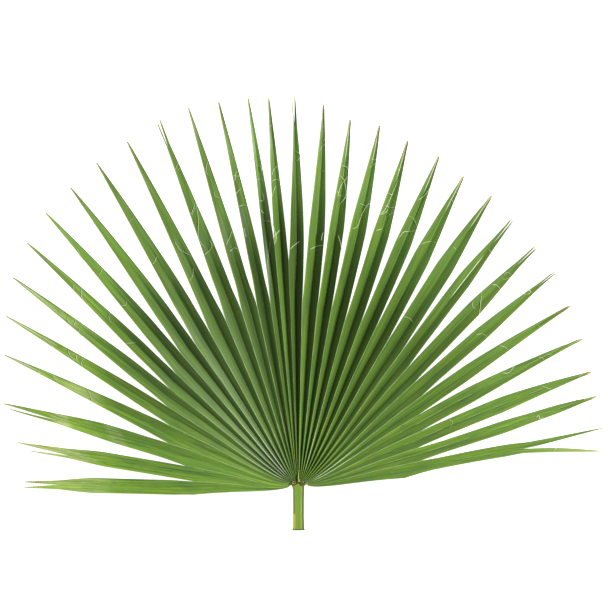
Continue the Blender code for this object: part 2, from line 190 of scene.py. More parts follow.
def middle_tip(i):
    left, right = tear(i)[2:]
    return (left + right) / 2


def axis(i):
    along = middle_tip(i) / np.linalg.norm(middle_tip(i))
    return along, np.array([-along[1], along[0]])


def around_fan(values, i):
    return float(np.interp(i, list(values), list(values.values())))


def pleat_slope(i, share):
    outer = around_fan(OUTER_STEEPNESS, i)
    places = [0, FULL_STEEPNESS, *FLATTENING, 1]
    steepness = np.interp(share, places, [HUB_STEEPNESS, 1, 1, outer, outer * TIP_STEEPNESS])
    return math.radians(around_fan(PLEAT_SLOPES, i) * steepness)


def keel_height(i, share):
    side = abs(i - (COUNT - 1) / 2) / ((COUNT - 1) / 2)
    arch = ARCH_MIDDLE + (ARCH_SIDE - ARCH_MIDDLE) * side**2
    lowest = 0 if i in RESTING else KEEL_GAP * (1 + GAP_VARIATION * math.sin(GAP_RHYTHM * i))
    rise = math.sin(math.pi * min(share / TOUCH_DOWN, 1)) ** ARCH_POWER
    turn = TIP_RISE * (1 + RISE_VARIATION * math.sin(RISE_RHYTHM * i + 1))
    return (
        KEEL_AT_HUB * (1 - share) ** 2
        + arch * rise
        + lowest * smoothstep(share / TOUCH_DOWN)
        + turn * smoothstep((share - TOUCH_DOWN) / (1 - TOUCH_DOWN))
    )


def width_left(i, u):
    neck = 1 - around_fan(NECKINGS, i) * smoothstep(u / NECK_END)
    start = around_fan(TAPER_STARTS, i)
    swell = around_fan(SWELLS, i) * smoothstep(1 - abs(u - SWELL_PLACE) / SWELL_REACH)
    return neck * (1 - np.clip((u - start) / (1 - start), 0, 1) ** TAPER_POWER) + swell


def eye(j):
    angle = math.atan2(NOTCHES[j][1], NOTCHES[j][0]) % (2 * math.pi)
    angle = math.pi / 2 + (angle - math.pi / 2) * EYE_SPREAD
    c, s = math.cos(angle), math.sin(angle)
    power = 2 / EYE_ROUNDNESS
    return np.array([
        EYE_CENTRE[0] + EYE_HALF_WIDTH * math.copysign(abs(c) ** power, c),
        EYE_CENTRE[1] + EYE_HEIGHT * math.copysign(abs(s) ** power, s),
    ])


def ridge(j, f):
    place = eye(j) * (1 - f) + NOTCHES[j] * f
    outward = math.copysign(1, 2 * j - COUNT)
    aside = np.array([NOTCHES[j][1], -NOTCHES[j][0]]) / np.linalg.norm(NOTCHES[j]) * outward
    lowest = SAG_RISE / (SAG_RISE + SAG_FALL)
    share = (f / lowest) ** SAG_RISE * ((1 - f) / (1 - lowest)) ** SAG_FALL
    return place + aside * around_fan(SAGS, j) * MM * share


class Segment:
    """Plan positions of one segment's edges and midrib, and heights along them."""

    def __init__(self, i):
        self.i = i
        self.along, self.left = axis(i)
        self.length = np.linalg.norm(middle_tip(i))
        self.start, self.across, self.tip_left, self.tip_right = tear(i)
        self.notch_left, self.notch_right = NOTCHES[i], NOTCHES[i + 1]
        self.width = abs((self.notch_left - self.notch_right) @ self.left)
        self.bow = around_fan(BOWS, i) * MM
        self.mismatch = [0, 0]

    def fused_row(self, f):
        left, right = ridge(self.i, f), ridge(self.i + 1, f)
        return left, (left + right) / 2, (left + right) / 2, right

    def free_row(self, u):
        half = self.width / 2
        bulge = self.left * half * (width_left(self.i, u) - (1 - u))
        bow = self.left * self.bow * max(0, math.sin(math.pi * u)) ** BOW_POWER
        end = around_fan(TIP_HALF_WIDTHS, self.i) * MM * u
        torn = (u - self.start) / (1 - self.start) if u > self.start else 0
        whole = middle_tip(self.i)
        tip_left = whole * (1 - torn) + self.tip_left * torn
        tip_right = whole * (1 - torn) + self.tip_right * torn
        left = self.notch_left * (1 - u) + tip_left * u + bulge + self.left * end
        right = self.notch_right * (1 - u) + tip_right * u - bulge - self.left * end
        left += bow * (1 - torn if self.bow < 0 else 1)
        right += bow * (1 - torn if self.bow > 0 else 1)
        across = 0.5 + (self.across - 0.5) * smoothstep(u / self.start)
        middle = left * (1 - across) + right * across
        if torn:
            fuller = self.left * around_fan(STRAND_SWELLS, self.i) * MM * math.sin(math.pi * torn)
            reach = self.width * width_left(self.i, u) + 2 * end
            inner_left = left - self.left * (reach * across + 2 * end * (1 - across) * torn)
            inner_right = right + self.left * (reach * (1 - across) + 2 * end * across * torn) + fuller
            return left, inner_left, inner_right, right
        return left, middle, middle, right

    def share_at(self, point):
        return float(np.clip((point @ self.along) / self.length, 0, 1))

    def fold_height(self, edge, middle):
        reach = abs((edge - middle) @ self.left)
        return reach * math.tan(pleat_slope(self.i, self.share_at(middle)))

    def depth(self, middle):
        return BLADE_THICK / math.cos(pleat_slope(self.i, self.share_at(middle)))

    def keel(self, middle):
        """Height of the upper face on the midrib."""
        return keel_height(self.i, self.share_at(middle)) + self.depth(middle)

    def free_heights(self, u):
        """Heights of the left edge, the midrib and the right edge in a free row."""
        left, inner_left, inner_right, right = self.free_row(u)
        middle = (inner_left + inner_right) / 2
        low = self.keel(middle)
        edges = [
            low + self.fold_height(edge, inner) + self.mismatch[side] * (1 - u) ** BLEND_POWER
            for side, (edge, inner) in enumerate(((left, inner_left), (right, inner_right)))
        ]
        return edges[0], low, edges[1]


segments = [Segment(i) for i in range(COUNT)]


def ridge_height(j, f):
    """Height of the upper face and its depth on the ridge between segments j - 1 and j."""
    heights, depths = [], []
    for segment in segments[max(j - 1, 0):j + 1]:
        left, middle, _, right = segment.fused_row(f)
        edge = left if segment.i == j else right
        heights.append(segment.keel(middle) + segment.fold_height(edge, middle))
        depths.append(segment.depth(middle))
    return sum(heights) / len(heights), sum(depths) / len(depths)


for segment in segments:
    for side in (0, 1):
        reached = ridge_height(segment.i + side, 1.0)[0]
        segment.mismatch[side] = reached - segment.free_heights(0)[2 * side]


# Meshes

VALLEY_ROUND = 0.05        # how softly the midrib's fold turns, as a share of a half segment's width
HALF_BULGE = 0.06          # how far each half bulges upwards, as a share of its height
COLLAR_TOP = 12.5 * MM     # height of the pleats' inner ends, which lie over the stalk's head
COLLAR_FOLD = 0.3 * MM
INNER_REACH = 0.8          # how far out the ridges end under the flap, as a share of the hub's width
INNER_GAP = 0.4 * MM       # how far behind the flap's line they end
RIPPLE = 0.35 * MM         # height of the small waves along the margins
RIPPLE_LENGTHS = (21 * MM, 26 * MM)    # their wave length over 2 pi on the left and right margin
RIPPLE_TURNS = (2.1, 1.3)  # radians by which they differ from one segment to the next
RIPPLE_START = 0.2         # share of the free length over which they grow
# Margins that face this way get painted shade, those facing away get painted light
SHADED_SIDE = (0.5, 0.86)    # direction that the darker margins face

# The brown line that closes the stalk's upper face, in mm from the hub and from left to right
RIM_LINE = [
    (-10.8, -1.6), (-9.0, -2.2), (-7.2, -2.3), (-5.2, -2.1), (-3.5, -1.3), (-1.4, 0.2), (0.6, 1.0),
    (2.2, 1.3), (3.6, 0.9), (4.8, -0.6), (6.2, -1.9), (8.0, -2.5), (9.6, -2.4), (11.0, -1.9),
]


def new_object(name, mesh, material, node=None):
    obj = bpy.data.objects.new(name, mesh)
    bpy.context.scene.collection.objects.link(obj)
    mesh.materials.append(material)
    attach(obj, "root")
    if node:
        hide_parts(node)
    return obj


def mesh_from(name, verts, faces, values, sharp=()):
    """A smooth mesh, with a value for each corner of its faces in each named attribute."""
    mesh = bpy.data.meshes.new(name)
    mesh.from_pydata(verts, [], faces)
    for label, numbers in values.items():
        numbers = np.asarray(numbers, dtype=np.float32)
        if numbers.ndim == 2:
            mesh.attributes.new(label, "FLOAT_VECTOR", "CORNER").data.foreach_set("vector", numbers.ravel())
        else:
            mesh.attributes.new(label, "FLOAT", "CORNER").data.foreach_set("value", numbers)
    mesh.shade_smooth()
    if sharp:
        flags = [tuple(sorted(edge.vertices)) in sharp for edge in mesh.edges]
        mesh.attributes.new("sharp_edge", "BOOLEAN", "EDGE").data.foreach_set("value", flags)
    mesh.update()
    return mesh


HALF = [0.5 - 0.5 * math.cos(math.pi * k / HALF_COLUMNS) for k in range(HALF_COLUMNS + 1)]


def half_profile(h):
    """Height across one half of a segment, 0 at the midrib and 1 at the edge."""
    valley = math.hypot(h, VALLEY_ROUND) - VALLEY_ROUND
    return valley / (math.hypot(1, VALLEY_ROUND) - VALLEY_ROUND) + HALF_BULGE * math.sin(math.pi * h)


def rim_height(x):
    return float(np.interp(x / MM, *zip(*RIM_LINE))) * MM


def inner_end(j):
    """Where ridge j ends under the flap."""
    x = eye(j)[0] * INNER_REACH
    return np.array([x, rim_height(x) + INNER_GAP])


def fused_place(segment, f):
    """Edges and midrib of a fused row; below 0 the row lies over the stalk's head."""
    if f >= 0:
        return segment.fused_row(f)
    left, right = (eye(j) * (1 + f) - inner_end(j) * f for j in (segment.i, segment.i + 1))
    return left, (left + right) / 2, (left + right) / 2, right


class Blade:
    """The blade's upper side, with what its material reads at each corner of its faces."""

    def __init__(self):
        self.points, self.depths, self.faces, self.place, self.edge = [], [], [], [], []
        steps = [-1 + k / COLLAR_ROWS for k in range(COLLAR_ROWS)]
        steps += [(k / FUSED_ROWS) ** FUSED_SPREAD for k in range(FUSED_ROWS + 1)]
        self.ridges = [self.ridge_line(j, steps) for j in range(COUNT + 1)]
        for segment in segments:
            rows = [self.fused(segment, k, f) for k, f in enumerate(steps)]
            for k in range(1, FREE_ROWS + 1):
                rows.append(self.free(segment, 1 - (1 - k / FREE_ROWS) ** FREE_SPREAD))
            for old, new in zip(rows, rows[1:]):
                self.strip(segment.i, old, new)

    def add(self, plan, height, depth):
        self.points.append((plan[0], plan[1], height))
        self.depths.append(depth)
        return len(self.points) - 1

    def ridge_line(self, j, steps):
        line = []
        for f in steps:
            segment = segments[min(j, COUNT - 1)]
            plan = fused_place(segment, f)[0 if j < COUNT else 3]
            height, depth = ridge_height(j, max(f, 0))
            height += (COLLAR_TOP + COLLAR_FOLD - height) * max(-f, 0)
            line.append(self.add(plan, height, depth))
        return line

    def row(self, segment, edges, heights, depth, y, u, ends=(None, None)):
        """Both halves of a row, each from the midrib outwards: vertex, mm across, mm from the edge."""
        left, inner_left, inner_right, right = edges
        halves = []
        sides = ((left, inner_left, heights[0], -1), (right, inner_right, heights[2], 1))
        for (edge, inner, high, sign), end in zip(sides, ends):
            reach = np.linalg.norm(edge - inner)
            normal = segment.left * -sign
            line = []
            for h in HALF:
                if h == 1 and end is not None:
                    vert = end
                elif h == 0 and halves and u <= segment.start:
                    vert = halves[0][0][0][0]
                else:
                    plan = inner * (1 - h) + edge * h
                    vert = self.add(plan, heights[1] + (high - heights[1]) * half_profile(h), depth)
                line.append((vert, sign * h * reach / MM, (1 - h) * reach / MM))
            halves.append((line, float(normal @ SHADED_SIDE)))
        return halves, y / MM, u

    def fused(self, segment, k, f):
        edges = fused_place(segment, f)
        low = segment.keel(segment.fused_row(max(f, 0))[1])
        low += (COLLAR_TOP - low) * max(-f, 0)
        ends = self.ridges[segment.i][k], self.ridges[segment.i + 1][k]
        heights = self.points[ends[0]][2], low, self.points[ends[1]][2]
        y = edges[1] @ segment.along
        return self.row(segment, edges, heights, segment.depth(edges[1]), y, min(f, 0), ends)

    def free(self, segment, u):
        edges = segment.free_row(u)
        middle = (edges[1] + edges[2]) / 2
        left, low, right = segment.free_heights(u)
        y = middle @ segment.along
        wave = RIPPLE * smoothstep(u / RIPPLE_START)
        left += wave * math.sin(y / RIPPLE_LENGTHS[0] + segment.i * RIPPLE_TURNS[0])
        right += wave * math.sin(y / RIPPLE_LENGTHS[1] + segment.i * RIPPLE_TURNS[1])
        return self.row(segment, edges, (left, low, right), segment.depth(middle), y, u)

    def strip(self, i, old, new):
        (old_halves, old_y, old_u), (new_halves, new_y, new_u) = old, new
        for side in (0, 1):
            (a, facing), (b, _) = old_halves[side], new_halves[side]
            for c in range(HALF_COLUMNS):
                corners = [
                    (a[c], old_y, old_u), (b[c], new_y, new_u),
                    (b[c + 1], new_y, new_u), (a[c + 1], old_y, old_u),
                ]
                if side == 0:
                    corners.reverse()
                verts = [vert for (vert, _, _), _, _ in corners]
                if len(set(verts)) < 4:
                    continue
                self.faces.append(verts)
                self.place.append([(x, y, i) for (_, x, _), y, _ in corners])
                self.edge.append([(rim, u, facing) for (_, _, rim), _, u in corners])

    def mesh(self):
        """The closed blade: this side, its lowered copy, and walls along all open edges."""
        top = np.array(self.points)
        low = top.copy()
        low[:, 2] -= np.array(self.depths)
        count = len(top)
        faces, place, edge, below = [], [], [], []
        walls = {}
        for face, p, e in zip(self.faces, self.place, self.edge):
            faces += [face, [v + count for v in reversed(face)]]
            place += p + p[::-1]
            edge += e + e[::-1]
            below += [0.0] * 4 + [1.0] * 4
            for k in range(4):
                n = (k + 1) % 4
                walls[(face[k], face[n])] = p[k], p[n], e[k], e[n]
        sharp = set()
        for (a, b), (pa, pb, ea, eb) in walls.items():
            if (b, a) not in walls:
                faces.append([b, a, a + count, b + count])
                place += [pb, pa, pa, pb]
                edge += [eb, ea, ea, eb]
                below += [0.5] * 4
                sharp |= {tuple(sorted((a, b))), (min(a, b) + count, max(a, b) + count)}
        verts = np.concatenate([top, low])
        verts[:, :2] += HUB
        values = {"place": place, "edge": edge, "below": below}
        return mesh_from("leaf_blade", verts.tolist(), faces, values, sharp)


def tube(path, radii, flat, sides):
    """Vertices and faces of a closed tube along a path, flattened to a share of its width."""
    path = np.array(path, float)
    verts, faces = [], []
    for k, (place, radius) in enumerate(zip(path, radii)):
        along = path[min(k + 1, len(path) - 1)] - path[max(k - 1, 0)]
        along /= np.linalg.norm(along) or 1
        aside = np.cross(along, (0, 0, 1))
        aside /= np.linalg.norm(aside) or 1
        up = np.cross(aside, along)
        for s in range(sides):
            angle = 2 * math.pi * s / sides
            verts.append(place + radius * (aside * math.cos(angle) + up * flat * math.sin(angle)))
        if k:
            first = (k - 1) * sides
            for s in range(sides):
                n = (s + 1) % sides
                faces.append([first + s, first + n, first + sides + n, first + sides + s])
    faces.append(list(range(sides))[::-1])
    faces.append([len(verts) - sides + s for s in range(sides)])
    return verts, faces


def joined(parts):
    """One list of vertices, one of faces, and for each corner the value given with its part."""
    verts, faces, values = [], [], []
    for (points, corners), value in parts:
        first = len(verts)
        verts += [tuple(p) for p in points]
        faces += [[v + first for v in face] for face in corners]
        values += [value for face in corners for _ in face]
    return verts, faces, values


# The stalk and its costa

STALK_ROWS = 60
COSTA_ROWS = 30
CORNER_CUTS = 2            # how often the section's corners are cut off to round it
CORNER_SHARE = 0.2         # how much of each side a cut takes
FULL_HOLLOW = 8 * MM       # half width from which the upper face is hollowed fully
COSTA_GAP = 0.3 * MM       # how far the costa lies under the blade


def stalk_section(y, half, top, bottom, edge):
    deep = top - bottom
    centre = stalk_centre(y)
    hollow = STALK_HOLLOW * min(1, half / FULL_HOLLOW)
    upper = [(-1, 0), (-0.55, 0.75), (0, 1), (0.55, 0.75), (1, 0)]
    ring = [(x * half, top - hollow * dip) for x, dip in upper]
    lower = [(1, edge / deep), (0.9, 0.55), (0.68, 0.85), (STALK_FLAT, 1)]
    side = [(x * half, top - deep * max(drop, edge / deep)) for x, drop in lower]
    ring = np.array(ring + side + [(-x, z) for x, z in reversed(side)])
    for _ in range(CORNER_CUTS):
        following = np.roll(ring, -1, axis=0)
        near = ring * (1 - CORNER_SHARE) + following * CORNER_SHARE
        far = ring * CORNER_SHARE + following * (1 - CORNER_SHARE)
        ring = np.stack([near, far], 1).reshape(-1, 2)
    return [(x + centre, y, z, x / half, (z - bottom) / deep) for x, z in ring]


def keel_floor(y, half):
    """Lowest height of the blade's underside over a piece of the costa."""
    lowest = 1.0
    for segment in segments:
        for f in np.linspace(0, 0.6, 40):
            middle = segment.fused_row(f)[1]
            if abs(middle[0]) < half + 1 * MM and abs(middle[1] - y) < 3 * MM:
                lowest = min(lowest, segment.keel(middle) - segment.depth(middle))
    return lowest


def stalk_mesh():
    ys, halves, tops, bottoms = zip(*STALK)
    rings = []
    for y in np.linspace(ys[0], ys[-1], STALK_ROWS):
        rings.append(stalk_section(
            y, np.interp(y, ys, halves), np.interp(y, ys, tops), np.interp(y, ys, bottoms), STALK_EDGE
        ))
    for f in np.linspace(0, 1, COSTA_ROWS):
        y = COSTA_START * (1 - f) + COSTA_END * f
        half = COSTA_HALF_WIDTH[0] * (1 - f) + COSTA_HALF_WIDTH[1] * f
        deep = COSTA_DEPTH[0] * (1 - f) + COSTA_DEPTH[1] * f
        top = keel_floor(y, half) - COSTA_GAP
        bottom = max(0, top - deep)
        rings.append(stalk_section(y, half, top, bottom, min(STALK_EDGE, deep / 2)))
    size = len(rings[0])
    verts = [(p[0] + HUB[0], p[1] + HUB[1], p[2]) for ring in rings for p in ring]
    faces, places = [], []
    for k in range(len(rings) - 1):
        for c in range(size):
            n = (c + 1) % size
            face = [k * size + c, k * size + n, (k + 1) * size + n, (k + 1) * size + c]
            faces.append(face)
            for v in face:
                _, y, _, across, high = rings[v // size][v % size]
                places.append((across, y / MM, high))
    for ring, first in ((rings[0], 0), (rings[-1], len(verts) - size)):
        face = list(range(first, first + size))
        face = face[::-1] if first == 0 else face
        faces.append(face)
        for v in face:
            _, y, _, across, high = ring[v - first]
            places.append((across, y / MM, high))
    ends = set()
    for first in (0, len(verts) - size):
        ends |= {tuple(sorted((first + c, first + (c + 1) % size))) for c in range(size)}
    mesh = mesh_from("leaf_stalk", verts, faces, {"place": places}, ends)
    bm = bmesh.new()
    bm.from_mesh(mesh)
    bmesh.ops.recalc_face_normals(bm, faces=bm.faces)
    bm.to_mesh(mesh)
    bm.free()
    return mesh


# The flap: brown rim, green lip behind it, an ear on its right and the spike.
# Paths, heights and radii are in mm.

RIM_STEPS = 60
RIM_HEIGHT = 13.0
RIM_RADIUS = 0.95
RIM_END_RADIUS = 0.3
LIP_BEHIND = 1.4
LIP_HEIGHT = 12.9
EAR_PATH = [(5.5, -2.2, 13.2), (8.5, -2.0, 13.6), (11.5, 0.3, 13.4), (14.5, 2.8, 12.6)]
EAR_STEPS = 14
EAR_RADII = (1.3, 0.2)
SPIKE_PATH = [
    (1.2, 2.6, 13.2), (1.1, 4.6, 13.9), (0.8, 7.5, 14.2),
    (0.7, 11.0, 14.0), (0.9, 15.0, 13.6), (1.2, 20.0, 13.2),
]
SPIKE_STEPS = 24
SPIKE_RADII = [2.2, 1.5, 1.05, 0.9, 0.7, 0.25]


def flap_mesh():
    rng = random.Random(5)
    rim, rim_radii = [], []
    for k in range(RIM_STEPS):
        x = RIM_LINE[0][0] + (RIM_LINE[-1][0] - RIM_LINE[0][0]) * k / (RIM_STEPS - 1)
        y = rim_height(x * MM) / MM
        rim.append((x, y + rng.uniform(-0.25, 0.25), RIM_HEIGHT + rng.uniform(-0.15, 0.15)))
        rim_radii.append(RIM_RADIUS + rng.uniform(-0.25, 0.3))
    rim_radii[0] = rim_radii[-1] = RIM_END_RADIUS
    lip = [(x, y + LIP_BEHIND, LIP_HEIGHT) for x, y, _ in rim[4:22:2]]
    lip_radii = [RIM_RADIUS + 0.3 * math.sin(k * 0.9) for k in range(len(lip))]
    ear = smooth_path(EAR_PATH, EAR_STEPS)
    thick, thin = EAR_RADII
    ear_radii = [thick - (thick - thin) * (k / (EAR_STEPS - 1)) ** 3 for k in range(EAR_STEPS)]
    spike = smooth_path(SPIKE_PATH, SPIKE_STEPS)
    places = np.linspace(0, 1, len(SPIKE_RADII))
    spike_radii = np.interp(np.linspace(0, 1, SPIKE_STEPS), places, SPIKE_RADII)
    parts = []
    for line, sizes, flat, tone, sides in (
        (rim, rim_radii, 0.9, 0.0, 8), (lip, lip_radii, 0.5, 0.8, 8), (ear, ear_radii, 0.6, 0.25, 8),
        (spike, spike_radii, 0.55, 1.0, 10),
    ):
        line = [((x * MM) + HUB[0], (y * MM) + HUB[1], z * MM) for x, y, z in line]
        parts.append((tube(line, [r * MM for r in sizes], flat, sides), tone))
    verts, faces, tones = joined(parts)
    return mesh_from("leaf_flap", verts, faces, {"tone": tones})


def smooth_path(points, count):
    """Points at even steps on a smooth curve through the given ones."""
    points = np.array(points, float)
    padded = np.concatenate([[2 * points[0] - points[1]], points, [2 * points[-1] - points[-2]]])
    out = []
    for t in np.linspace(0, len(points) - 1, count):
        k = min(int(t), len(points) - 2)
        f = t - k
        a, b, c, d = padded[k:k + 4]
        bend, twist = 2 * a - 5 * b + 4 * c - d, 3 * b - a - 3 * c + d
        out.append(0.5 * (2 * b + (c - a) * f + bend * f**2 + twist * f**3))
    return np.array(out)


# Threads

THREAD_RADIUS = 0.46 * MM
THREAD_LIFT = 0.5 * MM
THREAD_STEPS = 26
FIBRE_STEPS = 12

# The longest threads, as points on their way in mm from the hub
THREADS = [
    [(-391, 168), (-384, 161)], [(-368, 161), (-361, 152)], [(-383, 218), (-375, 213), (-367, 203)],
    [(-345, 200), (-341, 190), (-331, 183)], [(-333, 192), (-330, 182)],
    [(-345, 251), (-345, 243), (-339, 237)], [(-334, 244), (-337, 235)],
    [(-328, 232), (-328, 225), (-322, 220)], [(-338, 298), (-337, 286)],
    [(-325, 293), (-325, 282), (-322, 274)], [(-332, 354), (-327, 341), (-318, 331)],
    [(-293, 322), (-299, 310)], [(-182, 468), (-175, 473)], [(-178, 482), (-184, 469)],
    [(-132, 365), (-129, 354), (-140, 341)], [(-153, 422), (-157, 411), (-161, 401)],
    [(-153, 422), (-149, 392), (-149, 368), (-138, 350)], [(-186, 366), (-177, 350), (-159, 340)],
    [(-135, 485), (-138, 470), (-135, 461)], [(-126, 437), (-124, 430), (-113, 426)],
    [(-108, 356), (-99, 377)], [(-102, 347), (-96, 352), (-90, 351)], [(-99, 461), (-87, 460)],
    [(-93, 468), (-95, 452)], [(-85, 443), (-94, 431)], [(-89, 414), (-78, 417)], [(-81, 383), (-78, 368)],
    [(-63, 476), (-56, 474), (-54, 466)], [(-62, 455), (-51, 453)], [(-59, 422), (-51, 425), (-54, 437)],
    [(-56, 410), (-50, 404)], [(-51, 393), (-38, 390)], [(-38, 390), (-33, 368), (-35, 357)],
    [(-39, 452), (-34, 455), (-28, 454)], [(-30, 476), (-37, 469), (-39, 461)], [(-33, 446), (-39, 428)],
    [(-27, 380), (-33, 372), (-38, 368)], [(-34, 378), (-33, 362)], [(-4, 497), (2, 494), (4, 487)],
    [(-3, 483), (5, 489)], [(2, 362), (-5, 357), (-12, 350)], [(42, 518), (37, 512)],
    [(43, 509), (36, 505), (33, 497)], [(42, 468), (34, 467)], [(36, 356), (28, 355), (18, 350)],
    [(38, 376), (35, 363)], [(66, 476), (75, 471)], [(63, 461), (69, 453), (72, 432), (62, 417)],
    [(74, 459), (65, 447), (59, 429)], [(60, 372), (66, 342)], [(110, 486), (117, 485)],
    [(117, 480), (107, 473)], [(93, 419), (101, 416), (108, 419)],
    [(81, 381), (89, 385), (96, 404), (108, 423)], [(150, 468), (155, 473)], [(131, 416), (144, 413)],
    [(123, 402), (133, 415), (150, 455)], [(124, 402), (135, 410)], [(135, 401), (144, 405)],
    [(117, 378), (126, 381)], [(150, 366), (158, 376), (166, 377), (176, 378)],
    [(198, 443), (190, 432), (179, 423)], [(228, 425), (233, 420)], [(185, 358), (196, 362), (207, 360)],
    [(233, 354), (236, 350)], [(285, 351), (290, 345)], [(308, 312), (314, 316), (320, 311)],
    [(291, 297), (297, 297), (303, 291)], [(339, 281), (342, 289), (349, 287), (343, 282)],
    [(266, 222), (276, 224), (284, 219)], [(258, 230), (270, 248), (276, 290)],
    [(302, 206), (310, 204), (314, 200)], [(360, 237), (361, 233)], [(305, 165), (316, 166), (324, 176)],
    [(360, 189), (365, 188), (368, 185)], [(372, 194), (380, 192)], [(365, 146), (372, 143), (380, 141)],
    [(356, 98), (361, 101), (362, 96), (368, 99)], [(414, 123), (422, 125)], [(383, 48), (390, 54)],
]
SIDEWAYS = 1.2 * MM        # how far a straight thread bows out

# Fibres frayed off near some tips, in mm from the hub, and whether each has browned
FIBRES = [
    ([(346, 92), (355, 94), (365, 98)], True), ([(421, 115), (431, 118), (440, 124)], True),
    ([(427, 124), (436, 128), (446, 131)], False), ([(418, 159), (428, 164), (437, 169)], False),
    ([(380, 252), (390, 258), (401, 264)], False), ([(382, 253), (396, 259), (406, 265)], True),
    ([(402, 205), (412, 210), (423, 214)], False), ([(414, 112), (424, 112), (433, 116)], False),
    ([(-444, 117), (-436, 117), (-425, 114)], False), ([(-405, 3), (-396, 5), (-386, 3)], True),
]
FRAYED = range(17, 31)     # segments whose margins fray at their tips
FRAY_END = 0.995           # how far along the free length they run
FRAY_ACROSS = 0.9          # how far out from the midrib they start
BROWNED = 2.0              # tone of a brown fibre; pale ones and threads lie between 0 and 1
RAY_START = 0.2            # height above everything, from which the blade is looked for


class Surface:
    """Finds the height of the blade's upper side at a place in plan."""

    def __init__(self, blade):
        verts = [v.co for v in blade.data.vertices]
        self.tree = BVHTree.FromPolygons(verts, [tuple(p.vertices) for p in blade.data.polygons])

    def height(self, x, y):
        hit = self.tree.ray_cast(Vector((x, y, RAY_START)), Vector((0, 0, -1)))
        return hit[0].z if hit[0] else None

    def drape(self, plan):
        """A path just above the blade, and level across the gaps."""
        heights = [self.height(x, y) for x, y in plan]
        known = [k for k, h in enumerate(heights) if h is not None]
        if not known:
            return None
        full = np.interp(range(len(plan)), known, [heights[k] for k in known])
        soft = np.convolve(np.pad(full, 2, "edge"), np.ones(5) / 5, "valid")
        high = np.maximum(full, soft) + THREAD_LIFT
        return [(x, y, z) for (x, y), z in zip(plan, high)]


def free_place(i, u, across):
    """A place on a free segment, at a share of its free length and across it from -1 to 1."""
    left, inner_left, inner_right, right = segments[i].free_row(u)
    middle = (inner_left + inner_right) / 2
    return middle + (left - middle) * max(-across, 0) + (right - middle) * max(across, 0)


def crossing(i, u, slant, bow, start, end):
    """A thread over segment i, slanting along it by a share of its free length and bowed in mm."""
    plan = []
    for t in np.linspace(0, 1, THREAD_STEPS):
        place = free_place(i, u + slant * t, start + (end - start) * t)
        plan.append(place + segments[i].along * bow * MM * math.sin(math.pi * t) + HUB)
    return plan


def placed_threads(rng):
    plans = []
    for points in THREADS:
        line = [np.array(point) * MM + HUB for point in points]
        if len(line) == 2:
            step = line[1] - line[0]
            aside = np.array([step[1], -step[0]]) / np.linalg.norm(step)
            line.insert(1, (line[0] + line[1]) / 2 + aside * rng.uniform(-1, 1) * SIDEWAYS)
        plans.append(smooth_path(line, THREAD_STEPS))
    return plans


def seeded_threads(rng):
    plans = []
    for i in range(3, COUNT - 1):
        for _ in range(rng.choice((0, 1, 1, 2))):
            u = rng.uniform(0.15, 0.85)
            start, end = rng.choice(((-1, 1), (-1, 0.4), (1, -0.3), (1, -1), (-0.9, 0.2)))
            plans.append(crossing(i, u, rng.uniform(-0.06, 0.06), rng.uniform(-5, 5), start, end))
    return plans


def frayed_fibres(rng):
    """Plans and tones of the fibres near the tips."""
    fibres = []
    for line, brown in FIBRES:
        fibres.append((smooth_path([np.array(point) * MM + HUB for point in line], FIBRE_STEPS), brown))
    for i in FRAYED:
        for side in (-1, 1):
            start, reach, past = rng.uniform(0.88, 0.94), rng.uniform(0.3, 1.1) * MM, rng.uniform(0, 3) * MM
            plan = []
            for t in np.linspace(0, 1, FIBRE_STEPS):
                place = free_place(i, start + (FRAY_END - start) * t, side * FRAY_ACROSS) + HUB
                away = segments[i].left * -side * reach * t**2 + segments[i].along * past * t**3
                plan.append(place + away)
            fibres.append((plan, rng.random() < 0.6))
    return [(plan, BROWNED if brown else 0.5) for plan, brown in fibres]


def thread_mesh(surface):
    rng = random.Random(12)
    parts = []
    lines = [(plan, THREAD_RADIUS * rng.uniform(0.8, 1.1), rng.random()) for plan in placed_threads(rng)]
    lines += [(plan, THREAD_RADIUS * rng.uniform(0.5, 0.8), rng.random()) for plan in seeded_threads(rng)]
    lines += [(plan, THREAD_RADIUS * rng.uniform(0.5, 0.7), tone) for plan, tone in frayed_fibres(rng)]
    for plan, size, tone in lines:
        path = surface.drape(plan)
        if path:
            last = len(plan) - 1
            radii = [size * min(1, 0.35 + 4 * min(t, last - t) / last) for t in range(len(plan))]
            parts.append((tube(path, radii, 1.0, 5), tone))
    verts, faces, tones = joined(parts)
    return mesh_from("leaf_threads", verts, faces, {"tone": tones})


# Materials

